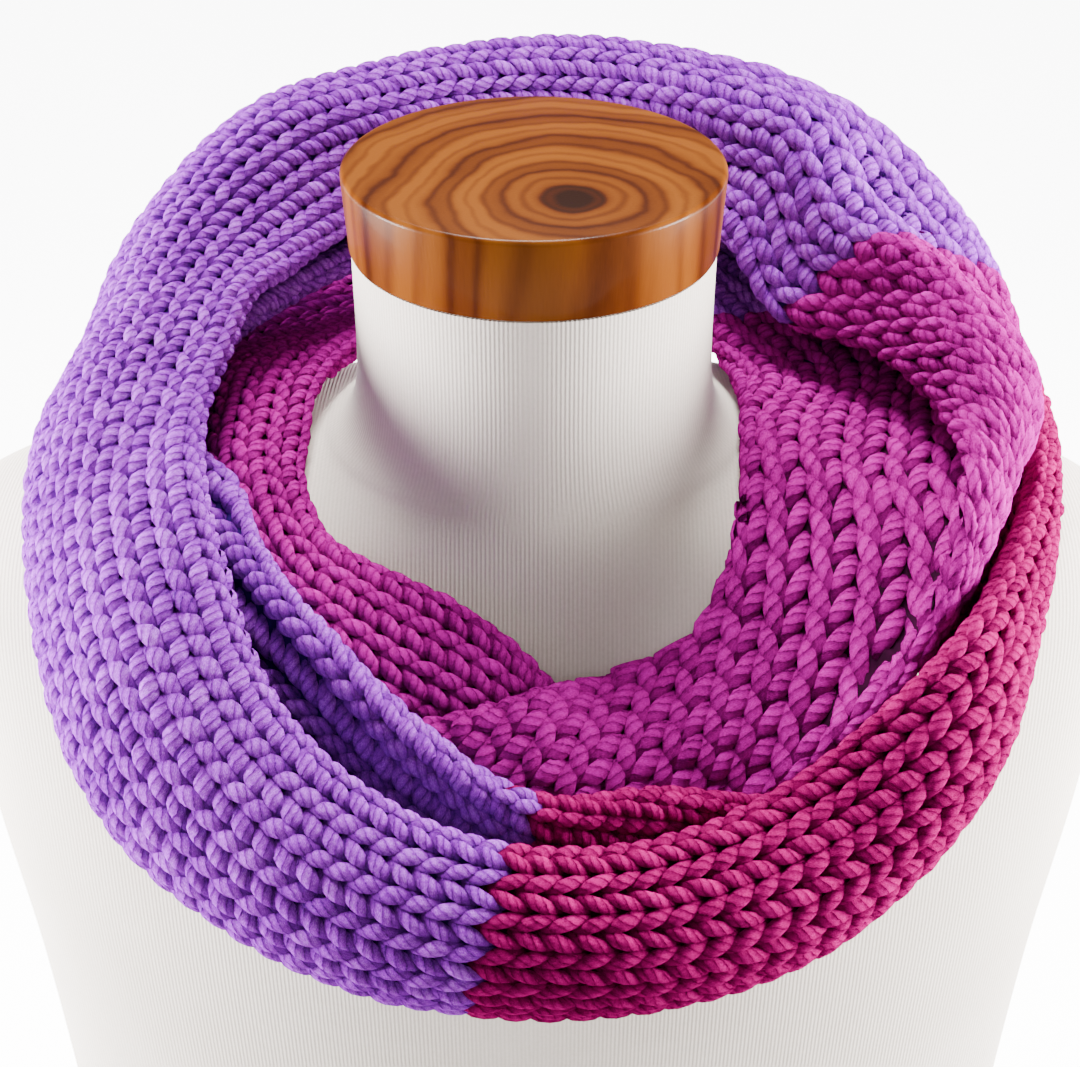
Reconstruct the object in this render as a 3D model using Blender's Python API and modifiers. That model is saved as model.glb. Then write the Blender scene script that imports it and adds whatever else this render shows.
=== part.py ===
"""Infinity scarf, worn doubled on a limbless dress form with a wooden neck cap.

The scarf is one long knitted tube in three blocks of colour, pressed flat to a band about
120 mm wide and folded lengthwise into a U, so that both long edges point up. It goes round
the neck twice. Angles run from the front of the form towards the left side of a person who
faces it (-X), then the back (180) and the right side (270). The second turn counts on from
360. The origin is the centre of the form's base, +Z is up and the front faces -Y.
"""

from collections import namedtuple
from math import pi

import bmesh
import bpy
import numpy as np

MM = 0.001

CAP_TOP = 430.0
CAP_THICKNESS = 25.0
CAP_TOP_RADIUS = 57.5
CAP_FOOT_RADIUS = 56.2
CAP_EDGE_ROUND = 1.5
CAP_SIDES = 64
CLEARANCE = 0.3

TORSO_SIDES = 44

KNIT_WALL = 3.0
STATION_STEP = 8.0
LINE_POINTS = 13
END_ROUND_POINTS = 3
FOLD_SOFTNESS = 11.0
BEND_WEIGHT = 8.0
TURNING_REACH = 8
LINE_PITCH = 0.8
RAW_LINE_POINTS = 200
CHORD_POWER = 0.6

PURPLE_JOIN_FRONT = 5.0
PURPLE_JOIN_BACK = 260.0
MAGENTA_TURN_END = 378.0
MAGENTA_TURN_START = 340.0
RASPBERRY_JOIN_BACK = 545.0
RASPBERRY_JOIN_FRONT = 725.0

COLOURS = {
    "purple_knit": ((0.392, 0.188, 0.665), 0.85),
    "magenta_knit": ((0.456, 0.030, 0.314), 0.85),
    "raspberry_knit": ((0.386, 0.022, 0.165), 0.85),
    "cream_jersey": ((0.604, 0.552, 0.496), 0.8),
    "amber_wood": ((0.300, 0.080, 0.022), 0.22),
}

# One row is one upright cut through the folded band, in millimetres. Each pair is a radius
# from the neck's axis and a height from the cap's top: the edge by the neck, the middle of
# the inner arm, the bottom of the fold, the belly, the crown of the outer arm and the edge
# that turns back over it. half is half the thickness of the flattened tube.
Cut = namedtuple("Cut", "angle half neck_edge inner_arm fold belly crown outer_edge")

OUTER_TURN = [
    Cut(0, 5.0, (138, -131), (143, -160), (154, -186), (170, -166), (166, -146), (155, -135)),
    Cut(15, 5.0, (128, -116), (136, -148), (151, -184), (171, -165), (165, -141), (151, -127)),
    Cut(30, 5.0, (121, -97), (130, -130), (149, -179), (171, -157), (163, -126), (143, -109)),
    Cut(45, 5.0, (113, -89), (126, -116), (151, -168), (171, -143), (160, -105), (128, -81)),
    Cut(60, 5.0, (107, -79), (135, -106), (157, -140), (164, -118), (150, -84), (115, -63)),
    Cut(67, 5.0, (110, -79), (132, -97), (154, -114), (160, -102), (145, -71), (108, -57)),
    Cut(75, 5.0, (112, -79), (129, -92), (148, -100), (155, -87), (138, -60), (100, -52)),
    Cut(90, 5.0, (113, -74), (123, -85), (137, -91), (143, -78), (126, -47), (91, -43)),
    Cut(105, 5.0, (101, -66), (114, -76), (133, -82), (141, -61), (119, -30), (83, -42)),
    Cut(120, 5.0, (90, -60), (108, -70), (132, -72), (136, -44), (109, -12), (79, -40)),
    Cut(150, 5.0, (80, -54), (98, -62), (120, -58), (126, -30), (100, -3), (76, -34)),
    Cut(180, 5.0, (76, -52), (94, -60), (114, -54), (120, -24), (97, 2), (76, -32)),
    Cut(210, 5.0, (78, -58), (98, -64), (122, -56), (130, -24), (104, 1), (76, -36)),
    Cut(225, 5.0, (76, -68), (100, -71), (130, -60), (137, -27), (110, -2), (77, -40)),
    Cut(240, 5.0, (72, -76), (102, -78), (136, -64), (144, -34), (113, -9), (78, -42)),
    Cut(255, 4.6, (70, -80), (104, -84), (140, -70), (148, -44), (112, -27), (84, -59)),
    Cut(270, 4.6, (70, -80), (108, -84), (140, -74), (150, -59), (121, -41), (108, -60)),
    Cut(285, 4.6, (71, -82), (110, -84), (141, -77), (151, -64), (136, -50), (128, -63)),
    Cut(300, 4.6, (77, -85), (110, -91), (137, -91), (148, -85), (150, -75), (144, -67)),
    Cut(315, 4.4, (88, -95), (110, -103), (130, -107), (141, -111), (148, -110), (149, -103)),
    Cut(330, 4.2, (95, -116), (109, -121), (120, -126), (128, -132), (133, -137), (138, -136)),
    Cut(345, 4.6, (92, -126), (108, -130), (120, -134), (126, -143), (127, -153), (126, -161)),
    Cut(360, 4.8, (104, -122), (114, -127), (122, -134), (125, -146), (125, -158), (122, -168)),
    Cut(368, 4.5, (110, -124), (117, -132), (122, -142), (124, -152), (124, -162), (121, -170)),
    Cut(378, 4.0, (117, -127), (119, -136), (121, -146), (122, -154), (122, -162), (121, -170)),
]

INNER_TURN = [
    Cut(340, 4.2, (102, -142), (105, -147), (108, -152), (110, -156), (112, -160), (113, -164)),
    Cut(350, 4.2, (98, -137), (103, -143), (106, -149), (109, -155), (111, -160), (112, -166)),
    Cut(360, 4.2, (88, -123), (98, -132), (105, -143), (108, -152), (110, -158), (112, -165)),
    Cut(375, 4.2, (83, -109), (93, -116), (101, -124), (105, -133), (107, -143), (109, -155)),
    Cut(390, 4.0, (84, -102), (93, -103), (101, -105), (108, -109), (112, -118), (113, -130)),
    Cut(405, 4.0, (88, -96), (93, -95), (98, -95), (103, -97), (107, -103), (110, -112)),
    Cut(420, 4.0, (84, -88), (89, -85), (94, -83), (99, -85), (103, -90), (108, -96)),
    Cut(435, 4.0, (77, -84), (84, -80), (91, -77), (98, -79), (103, -84), (108, -90)),
    Cut(450, 4.2, (74, -79), (82, -76), (90, -75), (97, -77), (103, -82), (107, -88)),
    Cut(480, 4.8, (70, -78), (80, -81), (90, -84), (100, -87), (110, -89), (120, -89)),
    Cut(510, 5.0, (70, -76), (82, -83), (94, -89), (106, -93), (116, -94), (126, -91)),
    Cut(540, 5.0, (70, -76), (82, -84), (94, -91), (106, -95), (116, -96), (126, -93)),
    Cut(570, 5.0, (76, -82), (88, -90), (100, -95), (112, -97), (124, -95), (134, -89)),
    Cut(600, 4.4, (98, -92), (108, -94), (120, -95), (134, -93), (146, -88), (153, -80)),
    Cut(615, 4.4, (119, -92), (129, -94), (140, -94), (151, -91), (157, -84), (157, -76)),
    Cut(630, 4.4, (124, -92), (136, -95), (148, -96), (158, -93), (162, -86), (159, -78)),
    Cut(645, 4.4, (126, -95), (138, -98), (150, -103), (160, -100), (163, -92), (158, -84)),
    Cut(660, 4.3, (144, -106), (148, -118), (157, -128), (166, -116), (165, -101), (159, -88)),
    Cut(675, 4.3, (152, -121), (155, -138), (165, -153), (176, -130), (172, -112), (162, -98)),
    Cut(690, 4.3, (147, -138), (151, -158), (159, -178), (175, -154), (167, -135), (153, -126)),
    Cut(705, 4.7, (140, -131), (144, -158), (157, -184), (172, -163), (166, -146), (153, -136)),
    Cut(720, 5.0, (138, -131), (143, -160), (154, -186), (170, -166), (166, -146), (155, -135)),
    Cut(735, 5.0, (128, -116), (136, -148), (151, -184), (171, -165), (165, -141), (151, -127)),
]

# One row is one level cut through the form: its height from the cap's top, its half width,
# and its depth in front of and behind the neck's axis.
Level = namedtuple("Level", "height half_width front back")

FORM_LEVELS = [
    Level(-CAP_THICKNESS - CLEARANCE, 55.5, 55.5, 55.5),
    Level(-56, 55.5, 55.5, 55.5),
    Level(-70, 56.3, 56.4, 56.5),
    Level(-80, 59.0, 58.4, 59.5),
    Level(-86, 65, 60.6, 62),
    Level(-91, 76, 63, 65),
    Level(-100, 124, 67.5, 73),
    Level(-110, 170, 73, 82),
    Level(-120, 195, 79.5, 90),
    Level(-135, 205, 88.5, 98),
    Level(-160, 203, 98, 104),
    Level(-200, 197, 108, 108),
    Level(-236, 194, 112, 108),
    Level(-300, 189, 108, 102),
    Level(-384, 186, 101, 98),
    Level(-430, 186, 100, 98),
]


def clear_scene():
    """Remove every object of the open file."""
    for item in list(bpy.data.objects):
        bpy.data.objects.remove(item, do_unlink=True)


def material(name):
    """Return a Principled material with the colour and roughness that COLOURS gives."""
    colour, roughness = COLOURS[name]
    made = bpy.data.materials.new(name)
    made.use_nodes = True
    made.diffuse_color = (*colour, 1.0)
    shader = made.node_tree.nodes["Principled BSDF"]
    shader.inputs["Base Color"].default_value = (*colour, 1.0)
    shader.inputs["Roughness"].default_value = roughness
    shader.inputs["Metallic"].default_value = 0.0
    return made


def curve_through(stops, values, at):
    """Read a smooth curve through rows of values, one row for each stop, at other stops."""
    stops = np.asarray(stops, float)
    values = np.asarray(values, float)
    at = np.asarray(at, float)
    span = np.diff(stops)
    slope = np.diff(values, axis=0) / span[:, None]
    tangent = np.empty_like(values)
    tangent[0] = slope[0]
    tangent[-1] = slope[-1]
    before = span[:-1, None]
    after = span[1:, None]
    tangent[1:-1] = (slope[:-1] * after + slope[1:] * before) / (before + after)
    index = np.clip(np.searchsorted(stops, at, side="right") - 1, 0, len(span) - 1)
    t = ((at - stops[index]) / span[index])[:, None]
    width = span[index][:, None]
    start = (2 * t**3 - 3 * t**2 + 1) * values[index]
    start_tangent = (t**3 - 2 * t**2 + t) * width * tangent[index]
    end = (3 * t**2 - 2 * t**3) * values[index + 1]
    end_tangent = (t**3 - t**2) * width * tangent[index + 1]
    return start + start_tangent + end + end_tangent


def along(line):
    """Return the distance from the line's start at each of its points."""
    steps = np.hypot(*np.diff(line, axis=0).T)
    return np.concatenate([[0.0], np.cumsum(steps)])


def read_line(line, measure, count):
    """Read count points from a line, evenly spaced in the measure."""
    at = np.linspace(0.0, measure[-1], count)
    return np.stack([np.interp(at, measure, line[:, axis]) for axis in (0, 1)], axis=1)


def soften(line, reach):
    """Round a line's bends with a moving average that keeps its two ends."""
    lead = 2 * line[0] - line[reach:0:-1]
    tail = 2 * line[-1] - line[-2:-reach - 2:-1]
    padded = np.vstack([lead, line, tail])
    kernel = np.hanning(2 * reach + 3)[1:-1]
    kernel = kernel / kernel.sum()
    return np.stack([np.convolve(padded[:, axis], kernel, "valid") for axis in (0, 1)], axis=1)


def centre_line(points):
    """Return the middle line of a cut through the flattened tube, closer set in its bends."""
    points = np.asarray(points, float)
    chord = np.hypot(*np.diff(points, axis=0).T) ** CHORD_POWER
    stops = np.concatenate([[0.0], np.cumsum(chord)])
    line = curve_through(stops, points, np.linspace(0.0, stops[-1], RAW_LINE_POINTS))
    length = along(line)[-1]
    count = int(length / LINE_PITCH)
    line = read_line(line, along(line), count)
    line = soften(line, int(round(FOLD_SOFTNESS / (length / (count - 1)))))
    heading = np.unwrap(np.arctan2(*np.diff(line, axis=0).T[::-1]))
    turning = np.abs(np.gradient(heading))
    average = np.full(2 * TURNING_REACH + 1, 1 / (2 * TURNING_REACH + 1))
    turning = np.convolve(np.pad(turning, TURNING_REACH, mode="edge"), average, "valid")
    steps = np.diff(along(line)) + BEND_WEIGHT * turning
    measure = np.concatenate([[0.0], np.cumsum(steps)])
    return read_line(line, measure, LINE_POINTS)


def sides(line):
    """Return the unit tangent and the unit normal at each point of a line."""
    tangent = np.gradient(line, axis=0)
    tangent = tangent / np.hypot(*tangent.T)[:, None]
    normal = np.stack([-tangent[:, 1], tangent[:, 0]], axis=1)
    return tangent, normal


def outer_ring(line, half):
    """Return the outline of a flattened tube around its middle line, with round edges."""
    tangent, normal = sides(line)
    turn = pi * np.arange(1, END_ROUND_POINTS + 1)[:, None] / (END_ROUND_POINTS + 1)
    last = line[-1] + half * (np.cos(turn) * normal[-1] + np.sin(turn) * tangent[-1])
    first = line[0] - half * (np.cos(turn) * normal[0] + np.sin(turn) * tangent[0])
    upper = line + half * normal
    lower = (line - half * normal)[::-1]
    return np.vstack([upper, last, lower, first])


def inner_ring(line, half):
    """Return the outline of the hollow, which ends one wall short of each edge."""
    normal = sides(line)[1]
    gap = half - KNIT_WALL
    inside = line[1:-1]
    upper = inside + gap * normal[1:-1]
    lower = (inside - gap * normal[1:-1])[::-1]
    return np.vstack([upper, lower])


def place(ring, angle, shift):
    """Stand a ring of radius and height pairs in the upright plane at an angle."""
    turn = np.radians(angle)
    radius = ring[:, 0]
    x = -radius * np.sin(turn) - shift * np.cos(turn)
    y = -radius * np.cos(turn) + shift * np.sin(turn)
    return np.stack([x, y, ring[:, 1] + CAP_TOP], axis=1) * MM


def finish(name, build, surface):
    """Turn a finished bmesh into a smooth-shaded object with one material."""
    bmesh.ops.recalc_face_normals(build, faces=build.faces)
    mesh = bpy.data.meshes.new(name)
    build.to_mesh(mesh)
    build.free()
    mesh.shade_smooth()
    mesh.set_sharp_from_angle(angle=pi / 3)
    mesh.materials.append(surface)
    return bpy.data.objects.new(name, mesh)


def ring_vertices(build, rings):
    """Add every ring's points to a bmesh and return them ring by ring."""
    return [[build.verts.new(point) for point in ring] for ring in rings]


def join_rings(build, rings):
    """Span each pair of neighbouring closed rings with a strip of four-sided faces."""
    for low, high in zip(rings, rings[1:]):
        for index in range(len(low)):
            after = (index + 1) % len(low)
            build.faces.new((low[index], low[after], high[after], high[index]))


def cut_face(build, outer, inner):
    """Close the cut end of the wall between one outer ring and the hollow's ring."""
    reach = LINE_POINTS - 2
    lower = LINE_POINTS + END_ROUND_POINTS
    for index in range(1, reach):
        build.faces.new((outer[index], outer[index + 1], inner[index], inner[index - 1]))
        low = (outer[lower + index], outer[lower + index + 1])
        build.faces.new((*low, inner[reach + index], inner[reach + index - 1]))
    build.faces.new((*outer[reach:lower + 2], inner[reach], inner[reach - 1]))
    build.faces.new((*outer[lower + reach:], outer[0], outer[1], inner[0], inner[-1]))


def tube_wall(name, outside, inside, surface):
    """Make the wall between an outer skin and its hollow, cut square at both ends."""
    build = bmesh.new()
    outer = ring_vertices(build, outside)
    inner = ring_vertices(build, inside)
    join_rings(build, outer)
    join_rings(build, inner)
    cut_face(build, outer[0], inner[0])
    cut_face(build, outer[-1], inner[-1])
    return finish(name, build, surface)


def band(name, turn, start, end, surface):
    """Loft one stretch of the scarf: a knitted wall around a flat hollow, open at both ends."""
    stops = [cut.angle for cut in turn]
    values = [[cut.half, *sum(cut[2:], ())] for cut in turn]
    count = int(round((end - start) / STATION_STEP)) + 1
    angles = np.linspace(start, end, count)
    rows = curve_through(stops, values, angles)
    outside = []
    inside = []
    for index, (angle, row) in enumerate(zip(angles, rows)):
        line = centre_line(row[1:].reshape(-1, 2))
        shift = 0.0
        if index == 0:
            shift = CLEARANCE / 2
        if index == count - 1:
            shift = -CLEARANCE / 2
        outside.append(place(outer_ring(line, row[0]), angle, shift))
        inside.append(place(inner_ring(line, row[0]), angle, shift))
    return tube_wall(name, outside, inside, surface)


def torso(name, surface):
    """Loft the limbless form from its neck to its flat base."""
    stops = np.arange(len(FORM_LEVELS))
    at = np.linspace(0, stops[-1], 2 * len(stops) - 1)
    turn = 2 * pi * np.arange(TORSO_SIDES) / TORSO_SIDES
    rings = []
    for height, half_width, front, back in curve_through(stops, FORM_LEVELS, at):
        depth = np.where(np.cos(turn) > 0, front, back)
        x = -half_width * np.sin(turn)
        y = -depth * np.cos(turn)
        z = np.full(TORSO_SIDES, height + CAP_TOP)
        rings.append(np.stack([x, y, z], axis=1) * MM)
    build = bmesh.new()
    loops = ring_vertices(build, rings)
    join_rings(build, loops)
    build.faces.new(loops[0])
    build.faces.new(loops[-1])
    return finish(name, build, surface)


def neck_cap(name, surface):
    """Turn the round wooden block that closes the form's neck."""
    middle = (CAP_TOP - CAP_THICKNESS / 2) * MM
    bpy.ops.mesh.primitive_cone_add(
        vertices=CAP_SIDES,
        radius1=CAP_FOOT_RADIUS * MM,
        radius2=CAP_TOP_RADIUS * MM,
        depth=CAP_THICKNESS * MM,
        location=(0.0, 0.0, middle),
    )
    cap = bpy.context.object
    cap.name = name
    cap.data.materials.append(surface)
    rim = cap.modifiers.new("rim", "BEVEL")
    rim.width = CAP_EDGE_ROUND * MM
    rim.segments = 2
    rim.limit_method = "ANGLE"
    rim.angle_limit = pi / 4
    cap.data.shade_smooth()
    cap.data.set_sharp_from_angle(angle=pi / 4)
    return cap


def main():
    """Build the scarf's four stretches and the form that they rest on."""
    clear_scene()
    surfaces = {name: material(name) for name in COLOURS}
    purple = surfaces["purple_knit"]
    magenta = surfaces["magenta_knit"]
    raspberry = surfaces["raspberry_knit"]
    pieces = [
        torso("form_torso", surfaces["cream_jersey"]),
        neck_cap("form_neck_cap", surfaces["amber_wood"]),
        band("scarf_purple", OUTER_TURN, PURPLE_JOIN_FRONT, PURPLE_JOIN_BACK, purple),
        band("scarf_magenta_outer", OUTER_TURN, PURPLE_JOIN_BACK, MAGENTA_TURN_END, magenta),
        band("scarf_magenta_inner", INNER_TURN, MAGENTA_TURN_START, RASPBERRY_JOIN_BACK, magenta),
        band("scarf_raspberry", INNER_TURN, RASPBERRY_JOIN_BACK, RASPBERRY_JOIN_FRONT, raspberry),
    ]
    collection = bpy.data.collections.new("infinity_scarf_on_dress_form")
    bpy.context.scene.collection.children.link(collection)
    for piece in pieces:
        for owner in list(piece.users_collection):
            owner.objects.unlink(piece)
        collection.objects.link(piece)


main()
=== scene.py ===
"""Looks of the infinity scarf on its dress form: yarn, jersey and varnished wood."""

from collections import namedtuple
from math import pi

import bmesh
import bpy
import numpy as np
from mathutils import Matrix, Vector


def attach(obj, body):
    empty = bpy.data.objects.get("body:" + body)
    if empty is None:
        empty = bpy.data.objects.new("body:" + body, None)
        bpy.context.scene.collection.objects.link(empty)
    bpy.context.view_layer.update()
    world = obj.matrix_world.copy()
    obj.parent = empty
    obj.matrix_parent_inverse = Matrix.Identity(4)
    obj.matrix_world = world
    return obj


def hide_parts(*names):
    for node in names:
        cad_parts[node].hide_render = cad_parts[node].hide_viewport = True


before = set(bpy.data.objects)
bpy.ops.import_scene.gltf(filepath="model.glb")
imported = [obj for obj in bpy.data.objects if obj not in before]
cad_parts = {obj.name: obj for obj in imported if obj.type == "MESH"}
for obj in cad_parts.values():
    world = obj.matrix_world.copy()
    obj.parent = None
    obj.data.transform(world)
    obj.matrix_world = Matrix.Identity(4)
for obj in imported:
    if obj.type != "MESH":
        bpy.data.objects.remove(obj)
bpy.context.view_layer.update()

MM = 0.001

# The wooden cap and the neck under it. Sizes are in millimetres unless a comment says otherwise.
CAP_TOP = 430.0
CAP_THICKNESS = 25.0
CAP_RADIUS = 57.5
CAP_FOOT_RADIUS = 56.2
CAP_ROUND = 1.6
CAP_ROUND_STEPS = 6
NECK_RADIUS = 55.5
FORM_SIDES = 160
FORM_STEPS = 6

# The small round at the cap's foot: how far in from its radius and how far up, for each ring.
CAP_FOOT_ROUND = [(1.2, 0.0), (0.3, 0.4), (0.0, 1.3)]

# How the middle line of a cut through the band is drawn and rounded.
FOLD_SOFTNESS = 11.0
LINE_PITCH = 0.8
RAW_LINE_POINTS = 200
CHORD_POWER = 0.6
LINE_POINTS = 72
EDGE_POINTS = 10

# Angles, in degrees, run on from the inner turn into the outer one, whose own are 720 less.
TURNS = 720.0
MAGENTA_START = 340.0
RASPBERRY_START = 545.0
PURPLE_START = 725.0
MAGENTA_OUTER_START = 980.0
MAGENTA_END = 1098.0
SPARE_ANGLE = 3.0
ANGLE_PITCH = 0.75
ANGLE_SLACK = 0.01

# The wales, which are the upright rows of stitches round the tube, and the skin's points.
WALES = 28
SAMPLES_A_WALE = 10
AROUND = WALES * SAMPLES_A_WALE
PLEAT_WIDTH = 1.0

# A wale narrower than the first width has no yarn, as it lies in a pleat. One wider than the
# second has stouter yarn, up to a limit.
NARROWEST_WALE = 4.6
USUAL_WALE = 10.8
WIDEST_SWELL = 1.42

# The height of a course, and its share of that height at some angles: the magenta that hangs
# free is stretched.
ROW_PITCH = 7.4
PITCH_ANGLES = (985.0, 1015.0)
PITCH_SHARES = (1.0, 1.14)

# How the courses are worked out: on every fourth point of the skin, in so many steps, and with
# little weight on what doesn't show.
COARSE = 4
FIELD_STEPS = 500
HIDDEN_WEIGHT = 0.08
NARROWEST_STEP = 0.4

# The slope of the courses by the edges of the lower face, and its share at some angles.
FOLD_LEAD = 0.22
LEAD_ANGLES = (640.0, 690.0, 770.0, 830.0, 925.0, 955.0, 1000.0, 1030.0)
LEAD_SHARES = (0.0, 0.65, 0.65, 0.0, 0.0, 1.2, 1.2, 0.0)

CAMERA_PLACE = (1.8, -512.1, 633.6)
CAMERA_PITCH = 33.2
CAMERA_FOCAL = 60.77
SENSOR_WIDTH = 36.0

# One row is one upright cut through the folded band, in millimetres. Each pair is a radius
# from the neck's axis and a height from the cap's top: the edge by the neck, the middle of
# the inner arm, the bottom of the fold, the belly, the crown of the outer arm and the edge
# that turns back over it. half is half the thickness of the flattened tube.
Cut = namedtuple("Cut", "angle half neck_edge inner_arm fold belly crown outer_edge")

OUTER_TURN = [
    Cut(0, 5.0, (138, -131), (143, -160), (154, -186), (170, -166), (166, -146), (155, -135)),
    Cut(15, 5.0, (128, -116), (136, -148), (151, -184), (171, -165), (165, -141), (151, -127)),
    Cut(30, 5.0, (121, -97), (130, -130), (149, -179), (171, -157), (163, -126), (143, -109)),
    Cut(45, 5.0, (113, -89), (126, -116), (151, -168), (171, -143), (160, -105), (128, -81)),
    Cut(60, 5.0, (107, -79), (135, -106), (157, -140), (164, -118), (150, -84), (115, -63)),
    Cut(67, 5.0, (110, -79), (132, -97), (154, -114), (160, -102), (145, -71), (108, -57)),
    Cut(75, 5.0, (112, -79), (129, -92), (148, -100), (155, -87), (138, -60), (100, -52)),
    Cut(90, 5.0, (113, -74), (123, -85), (137, -91), (143, -78), (126, -47), (91, -43)),
    Cut(105, 5.0, (101, -66), (114, -76), (133, -82), (141, -61), (119, -30), (83, -42)),
    Cut(120, 5.0, (90, -60), (108, -70), (132, -72), (136, -44), (109, -12), (79, -40)),
    Cut(150, 5.0, (80, -54), (98, -62), (120, -58), (126, -30), (100, -3), (76, -34)),
    Cut(180, 5.0, (76, -52), (94, -60), (114, -54), (120, -24), (97, 2), (76, -32)),
    Cut(210, 5.0, (78, -58), (98, -64), (122, -56), (130, -24), (104, 1), (76, -36)),
    Cut(225, 5.0, (76, -68), (100, -71), (130, -60), (137, -27), (110, -2), (77, -40)),
    Cut(240, 5.0, (72, -76), (102, -78), (136, -64), (144, -34), (113, -9), (78, -42)),
    Cut(255, 4.6, (70, -80), (104, -84), (140, -70), (148, -44), (112, -27), (84, -59)),
    Cut(270, 4.6, (70, -80), (108, -84), (140, -74), (150, -59), (121, -41), (108, -60)),
    Cut(285, 4.6, (71, -82), (110, -84), (141, -77), (151, -64), (136, -50), (128, -63)),
    Cut(300, 4.6, (77, -85), (110, -91), (137, -91), (148, -85), (150, -75), (144, -67)),
    Cut(315, 4.4, (88, -95), (110, -103), (130, -107), (141, -111), (148, -110), (149, -103)),
    Cut(330, 4.2, (95, -116), (109, -121), (120, -126), (128, -132), (133, -137), (138, -136)),
    Cut(345, 4.6, (92, -126), (108, -130), (120, -134), (126, -143), (127, -153), (126, -161)),
    Cut(360, 4.8, (104, -122), (114, -127), (122, -134), (125, -146), (125, -158), (122, -168)),
    Cut(368, 4.5, (110, -124), (117, -132), (122, -142), (124, -152), (124, -162), (121, -170)),
    Cut(378, 4.0, (117, -127), (119, -136), (121, -146), (122, -154), (122, -162), (121, -170)),
]

INNER_TURN = [
    Cut(340, 4.2, (102, -142), (105, -147), (108, -152), (110, -156), (112, -160), (113, -164)),
    Cut(350, 4.2, (98, -137), (103, -143), (106, -149), (109, -155), (111, -160), (112, -166)),
    Cut(360, 4.2, (88, -123), (98, -132), (105, -143), (108, -152), (110, -158), (112, -165)),
    Cut(375, 4.2, (83, -109), (93, -116), (101, -124), (105, -133), (107, -143), (109, -155)),
    Cut(390, 4.0, (84, -102), (93, -103), (101, -105), (108, -109), (112, -118), (113, -130)),
    Cut(405, 4.0, (88, -96), (93, -95), (98, -95), (103, -97), (107, -103), (110, -112)),
    Cut(420, 4.0, (84, -88), (89, -85), (94, -83), (99, -85), (103, -90), (108, -96)),
    Cut(435, 4.0, (77, -84), (84, -80), (91, -77), (98, -79), (103, -84), (108, -90)),
    Cut(450, 4.2, (74, -79), (82, -76), (90, -75), (97, -77), (103, -82), (107, -88)),
    Cut(480, 4.8, (70, -78), (80, -81), (90, -84), (100, -87), (110, -89), (120, -89)),
    Cut(510, 5.0, (70, -76), (82, -83), (94, -89), (106, -93), (116, -94), (126, -91)),
    Cut(540, 5.0, (70, -76), (82, -84), (94, -91), (106, -95), (116, -96), (126, -93)),
    Cut(570, 5.0, (76, -82), (88, -90), (100, -95), (112, -97), (124, -95), (134, -89)),
    Cut(600, 4.4, (98, -92), (108, -94), (120, -95), (134, -93), (146, -88), (153, -80)),
    Cut(615, 4.4, (119, -92), (129, -94), (140, -94), (151, -91), (157, -84), (157, -76)),
    Cut(630, 4.4, (124, -92), (136, -95), (148, -96), (158, -93), (162, -86), (159, -78)),
    Cut(645, 4.4, (126, -95), (138, -98), (150, -103), (160, -100), (163, -92), (158, -84)),
    Cut(660, 4.3, (144, -106), (148, -118), (157, -128), (166, -116), (165, -101), (159, -88)),
    Cut(675, 4.3, (152, -121), (155, -138), (165, -153), (176, -130), (172, -112), (162, -98)),
    Cut(690, 4.3, (147, -138), (151, -158), (159, -178), (175, -154), (167, -135), (153, -126)),
    Cut(705, 4.7, (140, -131), (144, -158), (157, -184), (172, -163), (166, -146), (153, -136)),
    Cut(720, 5.0, (138, -131), (143, -160), (154, -186), (170, -166), (166, -146), (155, -135)),
    Cut(735, 5.0, (128, -116), (136, -148), (151, -184), (171, -165), (165, -141), (151, -127)),
]

# One row is one level cut through the form: its height from the cap's top, its half width,
# and its depth in front of and behind the neck's axis.
Level = namedtuple("Level", "height half_width front back")

FORM_LEVELS = [
    Level(-CAP_THICKNESS - 0.3, 55.5, 55.5, 55.5),
    Level(-56, 55.5, 55.5, 55.5),
    Level(-70, 56.3, 56.4, 56.5),
    Level(-80, 59.0, 58.4, 59.5),
    Level(-86, 65, 60.6, 62),
    Level(-91, 76, 63, 65),
    Level(-100, 124, 67.5, 73),
    Level(-110, 170, 73, 82),
    Level(-120, 195, 79.5, 90),
    Level(-135, 205, 88.5, 98),
    Level(-160, 203, 98, 104),
    Level(-200, 197, 108, 108),
    Level(-236, 194, 112, 108),
    Level(-300, 189, 108, 102),
    Level(-384, 186, 101, 98),
    Level(-430, 186, 100, 98),
]

# One row is one ring of a yarn leg. along counts rows from the stitch's root, across counts
# wales from its middle, lift is the yarn's height over the bed, width is its half width and
# exposed is the share of light that reaches it.
Ring = namedtuple("Ring", "along across lift width exposed")

LEG = [
    Ring(-0.28, 0.060, -2.6, 1.1, 0.0),
    Ring(0.02, 0.110, -0.6, 1.75, 0.45),
    Ring(0.29, 0.185, 0.40, 2.05, 0.9),
    Ring(0.56, 0.262, 0.65, 2.12, 1.0),
    Ring(0.83, 0.330, 0.35, 2.00, 0.9),
    Ring(1.09, 0.385, -0.6, 1.70, 0.45),
    Ring(1.34, 0.425, -2.5, 1.1, 0.0),
]
YARN_BED = 2.0
YARN_HEIGHT = 1.95
ARCH_POINTS = 6
ARCH_START = -20.0

# How unevenly the legs are knitted: spreads in courses, in skin points, in millimetres, as a
# share of their width, and in the tone of their yarn round its middle.
SEED = 11
COURSE_SPREAD = 0.02
PLACE_SPREAD = 0.08
LIFT_SPREAD = 0.15
WIDTH_SPREAD = 0.05
MIDDLE_TONE = 0.5
TONE_SPREAD = 0.16

# The cloth under the yarn: its depth under the skin, and the points of the skin that it skips.
SHELL_DEPTH = 2.6
SHELL_ROW_STEP = 3
SHELL_PLACE_STEP = 4

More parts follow.
